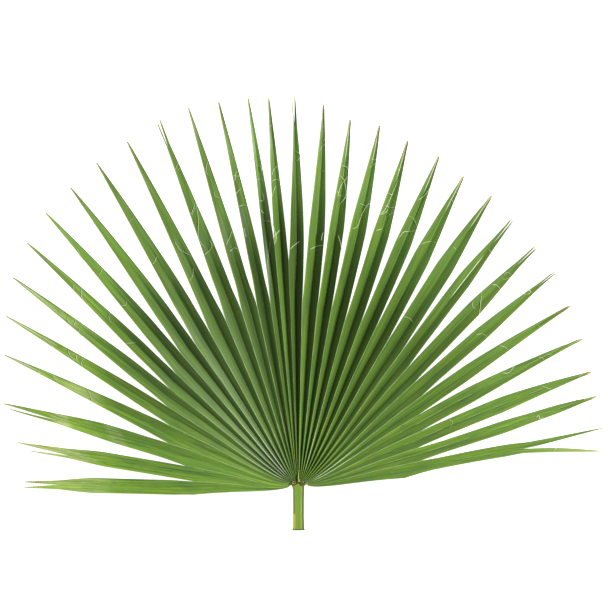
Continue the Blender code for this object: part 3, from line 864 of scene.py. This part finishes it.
class Nodes:
    """Short names for the shader nodes that the materials use."""

    def __init__(self, name, roughness, specular):
        self.material = bpy.data.materials.new(name)
        self.material.use_nodes = True
        self.tree = self.material.node_tree
        self.shader = self.tree.nodes["Principled BSDF"]
        self.shader.inputs["Roughness"].default_value = roughness
        self.shader.inputs["Specular IOR Level"].default_value = specular
        self.colour = None

    def put(self, socket, value):
        if isinstance(value, bpy.types.NodeSocket):
            self.tree.links.new(value, socket)
        elif value is not None:
            socket.default_value = value

    def attribute(self, name, output="Vector"):
        node = self.tree.nodes.new("ShaderNodeAttribute")
        node.attribute_name = name
        return node.outputs[output]

    def split(self, vector):
        node = self.tree.nodes.new("ShaderNodeSeparateXYZ")
        self.put(node.inputs[0], vector)
        return node.outputs

    def join(self, x, y, z):
        node = self.tree.nodes.new("ShaderNodeCombineXYZ")
        for socket, value in zip(node.inputs, (x, y, z)):
            self.put(socket, value)
        return node.outputs[0]

    def math(self, operation, a, b=None):
        node = self.tree.nodes.new("ShaderNodeMath")
        node.operation = operation
        self.put(node.inputs[0], a)
        self.put(node.inputs[1], b)
        return node.outputs[0]

    def gap(self, a, b):
        """How far two values are apart."""
        return self.math("ABSOLUTE", self.math("SUBTRACT", a, b))

    def near(self, a, b):
        """1 where two values are less than half apart, and 0 elsewhere."""
        return self.math("LESS_THAN", self.gap(a, b), 0.5)

    def times(self, *values):
        product = values[0]
        for value in values[1:]:
            product = self.math("MULTIPLY", product, value)
        return product

    def ease(self, value, low, high, start=0.0, end=1.0):
        """Goes smoothly from start to end while the value goes from low to high."""
        node = self.tree.nodes.new("ShaderNodeMapRange")
        node.interpolation_type = "SMOOTHSTEP"
        if low > high:
            low, high, start, end = high, low, end, start
        for name, given in (
            ("Value", value), ("From Min", low), ("From Max", high), ("To Min", start), ("To Max", end)
        ):
            self.put(node.inputs[name], given)
        return node.outputs["Result"]

    def grain(self, x, y, z, across, along, detail=2.0):
        """Noise with its own number of spots for each mm across and along."""
        place = self.join(self.times(x, across), self.times(y, along), z)
        node = self.tree.nodes.new("ShaderNodeTexNoise")
        for name, given in (("Vector", place), ("Scale", 1.0), ("Detail", detail), ("Roughness", 0.6)):
            self.put(node.inputs[name], given)
        return node.outputs[0]

    def ramp(self, value, stops):
        node = self.tree.nodes.new("ShaderNodeValToRGB")
        ramp = node.color_ramp
        while len(ramp.elements) < len(stops):
            ramp.elements.new(0.5)
        for element, (place, colour) in zip(ramp.elements, stops):
            element.position = place
            element.color = colour
        self.put(node.inputs[0], value)
        return node.outputs[0]

    def mix(self, factor, a, b):
        node = self.tree.nodes.new("ShaderNodeMix")
        node.data_type = "RGBA"
        self.put(node.inputs["Factor"], factor)
        for socket, value in zip([s for s in node.inputs if s.type == "RGBA"], (a, b)):
            self.put(socket, value)
        return [s for s in node.outputs if s.type == "RGBA"][0]

    def lay(self, strength, paint):
        """Paints over the colour so far."""
        self.colour = self.mix(strength, self.colour, paint)

    def shade(self, strength, factor):
        """Darkens or lightens the colour so far."""
        self.colour = self.mix(strength, self.colour, factor)
        self.colour.node.blend_type = "MULTIPLY"

    def bump(self, height, distance):
        node = self.tree.nodes.new("ShaderNodeBump")
        self.put(node.inputs["Height"], height)
        node.inputs["Distance"].default_value = distance
        self.tree.links.new(node.outputs[0], self.shader.inputs["Normal"])

    def finish(self):
        self.put(self.shader.inputs["Base Color"], self.colour)
        return self.material


LEVEL_LIGHT = 1.46         # what a level white face sends to the camera, against white on the screen


def seen(r, g, b):
    """The base colour that looks like these 0 to 255 screen values on a level face in this light."""
    def linear(v):
        v /= 255
        return (v / 12.92 if v <= 0.04045 else ((v + 0.055) / 1.055) ** 2.4) / LEVEL_LIGHT
    return (linear(r), linear(g), linear(b), 1)


MIDDLE_GREEN = seen(102, 140, 54)
MIDDLE_YELLOW = seen(116, 148, 50)
MIDDLE_BLUE = seen(92, 132, 60)
SIDE_GREEN = seen(109, 151, 53)
SIDE_YELLOW = seen(130, 166, 50)
DEEP_GREEN = seen(60, 92, 36)
UNDER_GREEN = seen(140, 168, 108)
TIP_GREEN = seen(138, 168, 88)
TIP_LEFT = seen(158, 194, 76)
TIP_PATCH = seen(196, 214, 146)
TIP_FADED = seen(214, 220, 156)
STRAND_PALE = seen(176, 198, 108)
# The ridges' pale colour also carries their painted highlight; the white is a painted highlight
RIDGE_PALE = seen(182, 208, 138)
HIGHLIGHT_WHITE = seen(236, 246, 208)
EDGE_SHADE = seen(52, 80, 34)
EDGE_YELLOW = seen(160, 184, 70)
TIP_STRAW = seen(204, 194, 124)
SLIT_PALE = seen(226, 232, 196)
TIP_BROWN = seen(134, 106, 50)
COLLAR_SHADE = seen(56, 72, 42)
SEAM_BROWN = seen(124, 112, 80)

# Factors on the colour that paint shade and light onto the blade
VALLEY_SHADE = (0.35, 0.4, 0.35, 1)
DEEP_VALLEY_SHADE = (0.09, 0.11, 0.08, 1)
CREST_HIGHLIGHT = (1.75, 1.8, 1.5, 1)
LEFT_PAINTED_LIGHT = (1.36, 1.34, 1.25, 1)
FAR_PAINTED_LIGHT = (1.26, 1.3, 1.45, 1)
HALF_PAINTED_LIGHT = (1.36, 1.42, 1.5, 1)

SEED_STEP = 37.1           # how far apart the grain of two neighbouring segments is taken
VALLEY_SPREAD = 0.03       # half width of the shade in a valley, as a share of its distance from the hub
PIT_SPREAD = 0.05          # the same for the deeper shade near the hub
VEIN_DEPTH = 0.12 * MM
STREAK_DEPTH = 0.25 * MM

# How deep the painted shade in each segment's valley is near the hub
PIT_SHADE_DEPTHS = [
    (0, 0.1), (3, 0.3), (4, 0.6), (5, 0.95), (11, 0.95), (12, 0.7), (15, 0.85), (23, 0.9), (25, 0.8),
    (27, 0.4), (29, 0.15), (31, 0.1),
]

# Pale patches on the lowest segments on the left: segment, mm from the hub, half length in mm, strength
PATCHES = [
    (0, 316, 56, 0.35), (1, 353, 44, 0.75), (2, 366, 20, 0.6), (2, 281, 18, 0.5), (3, 350, 42, 0.5)
]

# How white each ridge is near the hub, where its painted highlight is strongest
RIDGE_HIGHLIGHTS = [
    (0, 0.0), (4, 0.1), (5, 0.7), (6, 0.6), (7, 0.2), (8, 0.8), (9, 0.75), (10, 0.3), (12, 0.1), (19, 0.0),
    (20, 0.8), (21, 0.0), (25, 0.2), (26, 0.3), (27, 1.0), (28, 0.9), (29, 0.3), (31, 0.1),
]

# How light the left and right half of each segment is: painted light and shade, as factors on its colour
LEFT_HALF_LIGHT_AND_SHADE = [
    (0, 1.16), (2, 1.14), (4, 0.9), (7, 0.95), (10, 0.8), (12, 0.56), (13, 0.36), (14, 0.62), (15, 0.9),
    (16, 0.57), (17, 0.87), (20, 0.82), (24, 0.84), (26, 0.85), (28, 0.94), (30, 1.04), (31, 1.03),
]
RIGHT_HALF_LIGHT_AND_SHADE = [
    (0, 1.18), (2, 1.1), (4, 0.84), (7, 0.71), (9, 0.9), (10, 1.02), (12, 1.24), (13, 1.0), (14, 0.75),
    (15, 0.63), (16, 0.36), (17, 0.51), (20, 0.75), (24, 0.85), (26, 0.77), (28, 0.71), (30, 0.8), (31, 0.91),
]
# The painted light and shade on the right halves is bluer by this factor
RIGHT_SHADE_BLUE = 1.3           # how much bluer the right halves are

# How light the free part of each segment is: painted light and shade, as factors on its colour
FREE_PART_LIGHT_AND_SHADE = [
    (0, 1.0), (4, 1.08), (5, 1.22), (7, 1.26), (9, 1.14), (10, 1.0), (13, 1.05), (14, 1.8), (15, 1.05),
    (16, 1.0), (18, 1.12), (20, 1.06), (21, 0.92), (22, 0.92), (24, 1.0), (31, 1.0),
]


class Leaf(Nodes):
    """The blade's material, with what its coats of colour read."""

    def __init__(self):
        super().__init__("leaf_green", 0.42, 0.25)
        self.x, self.y, self.number = self.split(self.attribute("place"))
        self.rim, self.free, self.facing = self.split(self.attribute("edge"))
        self.from_midrib = self.math("ABSOLUTE", self.x)
        self.from_axis = self.gap(self.number, (COUNT - 1) / 2)
        self.side = self.ease(self.from_axis, 8.5, 12.5)
        self.seed = self.times(self.number, SEED_STEP)
        self.veins = self.own_grain(0, 0.42, 0.010, 3.0)
        self.fine = self.own_grain(41, 0.8, 0.014)
        self.streaks = self.own_grain(5, 0.30, 0.009)
        self.patches = self.own_grain(11, 0.06, 0.022)

    def own_grain(self, offset, across, along, detail=2.0):
        """Grain that differs from one segment to the next."""
        return self.grain(self.x, self.y, self.math("ADD", self.seed, offset), across, along, detail)

    def toned(self, number, table, blue=1.0):
        """The tone that a table gives at a segment's or a ridge's number."""
        stops = [(k / COUNT, (tone, tone, tone * blue, 1)) for k, tone in table]
        return self.ramp(self.times(number, 1 / COUNT), stops)


# The blade's coats of colour, in the order in which they are laid

def greens_with_painted_halves(n):
    green = n.mix(n.side, MIDDLE_GREEN, SIDE_GREEN)
    yellow = n.mix(n.side, MIDDLE_YELLOW, SIDE_YELLOW)
    n.colour = n.mix(n.ease(n.streaks, 0.40, 0.68), green, yellow)
    n.lay(n.ease(n.patches, 0.50, 0.72, 0.0, 0.45), MIDDLE_BLUE)
    # Painted light and shade on each half of a segment, weaker on the free parts
    left, right = n.toned(n.number, LEFT_HALF_LIGHT_AND_SHADE), n.toned(n.number, RIGHT_HALF_LIGHT_AND_SHADE, RIGHT_SHADE_BLUE)
    n.shade(n.ease(n.free, 0.25, 0.75, 1.0, 0.25), n.mix(n.ease(n.x, -0.4, 0.4), left, right))


def pale_left(n):
    """Paler outer parts of the lowest segments on the left, except one tip, and their pale patches."""
    pale = n.times(n.ease(n.free, 0.35, 0.85), n.ease(n.number, 7.5, 3.0))
    pale = n.times(pale, n.ease(n.patches, 0.35, 0.6, 0.5, 0.9))
    greener = n.times(n.near(n.number, 2), n.ease(n.free, 0.64, 0.74))
    pale = n.times(pale, n.ease(greener, 0.0, 1.0, 1.0, 0.25))
    clouds = n.own_grain(23, 0.10, 0.030)
    n.lay(pale, n.mix(n.ease(clouds, 0.50, 0.68), TIP_LEFT, TIP_PATCH))
    broken = n.ease(n.streaks, 0.38, 0.58, 0.35, 1.0)
    for segment, place, half, strength in PATCHES:
        reach = n.ease(n.gap(n.y, place), half, half * 0.3, 0.0, strength)
        n.lay(n.times(n.near(n.number, segment), reach, broken), TIP_PATCH)


def painted_light_on_ends(n):
    """Painted light on the free parts: all on the left, and the right halves in the middle; then painted
    light and shade on each segment's free part.
    """
    number, free, right_half = n.number, n.free, n.ease(n.x, -0.2, 0.2)
    # Painted light on free parts that the light leaves in shade
    n.shade(n.times(n.ease(free, 0.1, 0.6), n.ease(number, 9, 7)), LEFT_PAINTED_LIGHT)
    reach = n.times(n.ease(number, 13.5, 15), n.ease(number, 24, 21), right_half)
    n.shade(n.times(n.ease(free, 0.3, 0.6), reach), FAR_PAINTED_LIGHT)
    reach = n.times(n.ease(number, 3, 7), n.ease(number, 25, 21), right_half)
    n.shade(n.times(n.ease(free, 0.0, 0.4), reach), HALF_PAINTED_LIGHT)
    n.shade(n.ease(free, 0.3, 0.55), n.toned(number, FREE_PART_LIGHT_AND_SHADE))


def painted_valley_shade(n):
    """Painted shade in the valleys, deepest near the hub, and painted highlights on the crests beside them.
    """
    # Painted shade along each valley
    valley = n.ease(n.math("DIVIDE", n.from_midrib, n.times(n.y, VALLEY_SPREAD)), 1.0, 0.0)
    valley = n.times(valley, n.ease(n.free, 0.4, 0.0), n.ease(n.side, 1.0, 0.0, 0.2, 0.6))
    n.shade(valley, VALLEY_SHADE)
    # Deeper painted shade in the valleys near the hub
    outwards = n.math("DIVIDE", n.from_midrib, n.times(n.y, PIT_SPREAD))
    pit_shade = n.times(n.ease(outwards, 0.95, 0.35), n.ease(n.y, 115, 30))
    n.shade(n.times(pit_shade, n.toned(n.number, PIT_SHADE_DEPTHS)), DEEP_VALLEY_SHADE)
    # Painted highlight on the crests near the hub
    crest_highlight = n.times(n.ease(outwards, 0.35, 0.8), n.ease(n.y, 120, 60))
    crest_highlight = n.times(crest_highlight, n.ease(n.number, 9, 11), n.ease(n.number, 28.5, 26.5))
    n.shade(crest_highlight, CREST_HIGHLIGHT)


def fine_grain(n):
    """Paler outer parts in the middle and on the right, veins and flecks."""
    pale = n.times(n.ease(n.free, 0.45, 1.0), n.ease(n.number, 3.0, 5.0))
    n.lay(n.times(pale, n.ease(n.number, 16.5, 17.5, 0.55, 0.25)), TIP_GREEN)
    n.lay(n.ease(n.veins, 0.52, 0.32, 0.0, 0.5), DEEP_GREEN)
    n.lay(n.ease(n.veins, 0.58, 0.76, 0.0, 0.25), TIP_GREEN)
    n.lay(n.ease(n.fine, 0.50, 0.34, 0.0, 0.4), DEEP_GREEN)
    flecks = n.own_grain(61, 0.55, 0.07)
    n.lay(n.times(n.ease(flecks, 0.60, 0.70), n.side, 0.4), DEEP_GREEN)


def ridges(n):
    """Pale ridges as far as the notches, partly their own paler colour and partly painted highlight, some of
    them with a white painted highlight near the hub, and the middle one brown.
    """
    fused, spots = n.ease(n.free, 0.05, 0.0), n.own_grain(3, 0.02, 0.035)
    inwards = n.math("DIVIDE", n.rim, n.ease(n.y, 10, 90, 0.42, 0.64))
    line = n.times(n.ease(inwards, 1.0, 0.35), fused, n.ease(spots, 0.30, 0.62, 0.25, 0.9))
    line = n.times(line, n.ease(n.y, 20, 110, 0.3, 1.0))
    ridge_number = n.math("ADD", n.number, n.math("GREATER_THAN", n.x, 0.0))
    # Painted white highlight on some ridges near the hub
    white = n.times(n.toned(ridge_number, RIDGE_HIGHLIGHTS), n.ease(n.y, 130, 70))
    white = n.times(white, n.ease(n.y, 14, 32))
    line = n.math("MAXIMUM", line, n.times(white, n.ease(inwards, 1.1, 0.5), fused))
    n.lay(line, n.mix(white, RIDGE_PALE, HIGHLIGHT_WHITE))
    seam = n.times(n.near(ridge_number, COUNT / 2), n.ease(n.rim, 0.9, 0.3))
    n.lay(n.times(seam, n.ease(n.y, 100, 80), n.ease(n.y, 14, 34), 0.75), SEAM_BROWN)


def margins(n):
    """Margins past the notches: painted shade where they face one way, painted yellowish light where they
    face the other.
    """
    free_only = n.ease(n.free, 0.0, 0.06)
    # Painted shade and painted light on the margins, by the way they face
    edge_shade = n.times(n.ease(n.rim, 1.6, 0.4), n.ease(n.facing, 0.05, 0.4), free_only)
    n.lay(n.times(edge_shade, n.ease(n.side, 1.0, 0.0, 0.35, 0.75)), EDGE_SHADE)
    light = n.times(n.ease(n.rim, 1.6, 0.5), n.ease(n.facing, 0.0, -0.4), free_only, 0.75)
    n.lay(light, EDGE_YELLOW)


def midribs(n):
    """Broken lines along the midribs on the right, and one unbroken painted highlight along a midrib."""
    dashes = n.times(n.ease(n.own_grain(0, 0.01, 0.03), 0.47, 0.56), n.ease(n.number, 26.5, 28.5))
    dashes = n.times(dashes, n.ease(n.y, 60, 150))
    pale_side = n.times(n.ease(n.x, -1.3, -0.5), n.ease(n.x, 0.3, -0.2))
    n.lay(n.times(pale_side, dashes, 0.5), RIDGE_PALE)
    dark_side = n.times(n.ease(n.x, 1.9, 0.7), n.ease(n.x, -0.3, 0.3))
    n.lay(n.times(dark_side, dashes, 0.7), DEEP_GREEN)
    # Painted highlight along the fold of segment 24's midrib
    line = n.times(n.near(n.number, 24), n.ease(n.from_midrib, 0.7, 0.3))
    n.lay(n.times(line, n.ease(n.y, 355, 375), n.ease(n.y, 445, 425)), HIGHLIGHT_WHITE)


def tips(n):
    """Tips, browned along their margins, with a pale slit along the midrib of some."""
    worn = n.times(n.ease(n.rim, 1.1, 0.3), n.ease(n.free, 0.80, 0.92))
    n.lay(n.times(worn, n.ease(n.number, 8, 11, 0.35, 0.75)), TIP_BROWN)
    left = n.times(n.ease(n.free, 0.72, 0.86), n.ease(n.gap(n.number, 4), 2.4, 0.9))
    right = n.times(n.ease(n.free, 0.76, 0.84), n.ease(n.gap(n.number, 20.5), 3.6, 2.4))
    slit = n.times(n.math("MAXIMUM", left, right), n.ease(n.from_midrib, 0.9, 0.5), 0.9)
    n.lay(slit, SLIT_PALE)
    yellow = n.ease(n.free, 0.90, 0.985, 0.0, 0.75)
    n.lay(n.times(yellow, n.ease(n.number, 10, 7, 0.3, 1.0)), EDGE_YELLOW)


def faded_tips(n):
    """The lowest two segments on the left, faded to straw, and the lowest one's dotted ends."""
    lowest = n.math("LESS_THAN", n.number, 0.5)
    faded = n.times(n.ease(n.free, 0.68, 0.86), n.ease(n.number, 1.6, 1.4))
    faded = n.times(faded, n.ease(n.streaks, 0.25, 0.6, 1.0, 0.55))
    part = n.math("MAXIMUM", n.ease(n.x, -0.3, 0.3), n.ease(n.free, 0.88, 0.96))
    part = n.math("MAXIMUM", n.math("GREATER_THAN", n.number, 0.5), part)
    n.lay(n.times(faded, part), n.mix(n.ease(n.fine, 0.42, 0.58), EDGE_YELLOW, TIP_FADED))
    dots = n.times(n.ease(n.own_grain(7, 0.3, 0.45), 0.50, 0.58), n.ease(n.free, 0.88, 0.92))
    n.lay(n.times(dots, lowest, 0.7), TIP_BROWN)


def strands(n):
    """The lower strands of two torn segments, brownish and pale, and the dry ends of all tips."""
    brown = n.times(n.near(n.number, 2), n.math("LESS_THAN", n.x, 0.0))
    n.lay(n.times(brown, n.ease(n.free, 0.72, 0.80), 0.3), TIP_BROWN)
    pale = n.times(n.near(n.number, COUNT - 1), n.math("GREATER_THAN", n.x, 0.0))
    n.lay(n.times(pale, n.ease(n.free, 0.62, 0.92, 0.0, 0.7)), STRAND_PALE)
    n.lay(n.ease(n.free, 0.972, 0.994, 0.0, 0.95), TIP_STRAW)
    n.lay(n.ease(n.free, 0.988, 1.0, 0.0, 0.5), TIP_BROWN)


def stalk_end(n):
    """Brown outer margins beside the stalk's head, which lies in grey-green shade, and the underside."""
    outwards = n.ease(n.times(n.x, n.math("SUBTRACT", n.number, 15)), 0.0, 2.0)
    brown = n.times(n.ease(n.rim, 2.4, 0.8), n.ease(n.from_axis, 15.2, 15.4), outwards, 0.8)
    n.lay(n.times(brown, n.ease(n.y, 46, 24)), TIP_BROWN)
    # Painted grey-green shade beside the stalk's head
    n.lay(n.ease(n.y, 13, 2, 0.0, 0.75), COLLAR_SHADE)
    n.lay(n.ease(n.attribute("below", "Fac"), 0.6, 1.0, 0.0, 0.7), UNDER_GREEN)


def blade_material():
    n = Leaf()
    for coat in (
        greens_with_painted_halves, pale_left, painted_light_on_ends, painted_valley_shade, fine_grain, ridges, margins, midribs, tips, faded_tips,
        strands, stalk_end,
    ):
        coat(n)
    n.put(n.shader.inputs["Roughness"], n.ease(n.veins, 0.3, 0.7, 0.46, 0.36))
    n.bump(n.veins, VEIN_DEPTH)
    return n.finish()


def stalk_material():
    n = Nodes("stalk_green", 0.45, 0.4)
    across, y, high = n.split(n.attribute("place"))
    wander = n.grain(across, y, 3.0, 1.5, 0.05)
    place = n.math("ADD", n.times(across, 0.5), n.math("ADD", 0.47, n.times(wander, 0.06)))
    n.colour = n.ramp(place, (
        (0.00, seen(176, 140, 60)), (0.06, seen(160, 132, 46)), (0.12, seen(96, 132, 34)),
        (0.22, seen(124, 168, 56)), (0.43, seen(138, 162, 44)), (0.60, seen(122, 168, 46)),
        (0.78, seen(176, 196, 92)), (0.86, seen(72, 102, 16)), (0.92, seen(92, 104, 24)),
        (1.00, seen(216, 190, 120)),
    ))
    streaks = n.grain(across, y, 8.0, 9.0, 0.035, 3.0)
    n.lay(n.ease(streaks, 0.55, 0.35, 0.0, 0.30), seen(96, 136, 52))
    n.lay(n.ease(streaks, 0.58, 0.75, 0.0, 0.35), seen(160, 186, 92))
    n.lay(n.times(n.ease(across, -0.54, -0.66), n.ease(y, -43, -49)), seen(194, 186, 44))
    n.lay(n.times(n.ease(across, -0.86, -0.92), n.ease(n.gap(y, -43.5), 1.3, 0.7)), seen(70, 52, 20))
    n.lay(n.ease(y, -67.2, -69.5, 0.0, 0.85), seen(66, 106, 34))
    specks = n.grain(across, y, 2.0, 6.0, 0.5, 3.0)
    n.lay(n.times(n.ease(specks, 0.60, 0.68), n.ease(y, -48, -60), 0.6), seen(70, 104, 40))
    n.lay(n.ease(high, 0.6, 0.2, 0.0, 0.8), seen(150, 172, 92))
    n.bump(streaks, STREAK_DEPTH)
    return n.finish()


def flap_material():
    n = Nodes("flap_brown", 0.7, 0.3)
    geometry = n.tree.nodes.new("ShaderNodeTexCoord")
    x, y, _ = n.split(geometry.outputs["Object"])
    flecks = n.grain(n.times(x, 1 / MM), n.times(y, 1 / MM), 1.0, 0.7, 0.7, 3.0)
    brown = n.mix(n.ease(flecks, 0.35, 0.65), seen(66, 46, 8), seen(118, 86, 26))
    green = n.mix(n.ease(flecks, 0.35, 0.65), seen(146, 172, 56), seen(176, 196, 84))
    n.colour = n.mix(n.attribute("tone", "Fac"), brown, green)
    return n.finish()


def thread_material():
    n = Nodes("thread_pale", 0.5, 0.3)
    tone = n.attribute("tone", "Fac")
    n.colour = n.mix(tone, seen(206, 226, 158), seen(238, 246, 208))
    n.lay(n.math("GREATER_THAN", tone, (1 + BROWNED) / 2), seen(156, 130, 76))
    return n.finish()


blade = new_object("leaf_blade", Blade().mesh(), blade_material(), "blade")
new_object("leaf_stalk", stalk_mesh(), stalk_material(), "petiole")
new_object("leaf_flap", flap_mesh(), flap_material(), "hastula")
new_object("leaf_threads", thread_mesh(Surface(blade)), thread_material())


# Stage, light and camera

FLOOR_SIZE = 40.0
CAMERA_LENS = 250
SENSOR = 36
FRAME_WIDTH = 912 * MM     # what the picture takes in at the height of the floor
VIEW_CENTRE = HUB + np.array([9, 268.5]) * MM
KEY_AZIMUTH = math.radians(12)
KEY_ELEVATION = math.radians(43)
KEY_DISTANCE = 4.0
KEY_SIZE = 1.1
KEY_POWER = 232
SKY_STRENGTH = 0.46
FLOOR_GLOW = 1.0
FLOOR_GREY = (0.5, 0.5, 0.5, 1)
FLOOR_DROP = 0.5 * MM      # how far the floor lies below the leaf's lowest points


def make_floor():
    mesh = bpy.data.meshes.new("floor")
    bm = bmesh.new()
    bmesh.ops.create_grid(bm, x_segments=1, y_segments=1, size=FLOOR_SIZE / 2)
    bm.to_mesh(mesh)
    bm.free()
    floor = bpy.data.objects.new("floor", mesh)
    bpy.context.scene.collection.objects.link(floor)
    floor.location = (0, 0, -FLOOR_DROP)
    n = Nodes("floor_white", 0.9, 0.1)
    n.shader.inputs["Emission Color"].default_value = (1, 1, 1, 1)
    n.shader.inputs["Emission Strength"].default_value = FLOOR_GLOW
    n.colour = FLOOR_GREY
    mesh.materials.append(n.finish())


def make_key():
    data = bpy.data.lights.new("key", "AREA")
    data.shape = "DISK"
    data.size = KEY_SIZE
    data.energy = KEY_POWER
    light = bpy.data.objects.new("key", data)
    bpy.context.scene.collection.objects.link(light)
    level, height = KEY_DISTANCE * math.cos(KEY_ELEVATION), KEY_DISTANCE * math.sin(KEY_ELEVATION)
    place = Vector((level * math.cos(KEY_AZIMUTH), level * math.sin(KEY_AZIMUTH), height))
    light.location = place
    light.rotation_euler = (-place).to_track_quat("-Z", "Y").to_euler()


def make_sky():
    world = bpy.data.worlds.new("studio")
    world.use_nodes = True
    background = world.node_tree.nodes["Background"]
    background.inputs["Color"].default_value = (1, 1, 1, 1)
    background.inputs["Strength"].default_value = SKY_STRENGTH
    bpy.context.scene.world = world


def make_camera():
    data = bpy.data.cameras.new("camera")
    data.lens = CAMERA_LENS
    data.sensor_width = SENSOR
    data.clip_end = 100
    camera = bpy.data.objects.new("camera", data)
    bpy.context.scene.collection.objects.link(camera)
    camera.location = (VIEW_CENTRE[0], VIEW_CENTRE[1], FRAME_WIDTH * CAMERA_LENS / SENSOR)
    bpy.context.scene.camera = camera


make_floor()
make_key()
make_sky()
make_camera()
bpy.context.scene.view_settings.view_transform = "Standard"
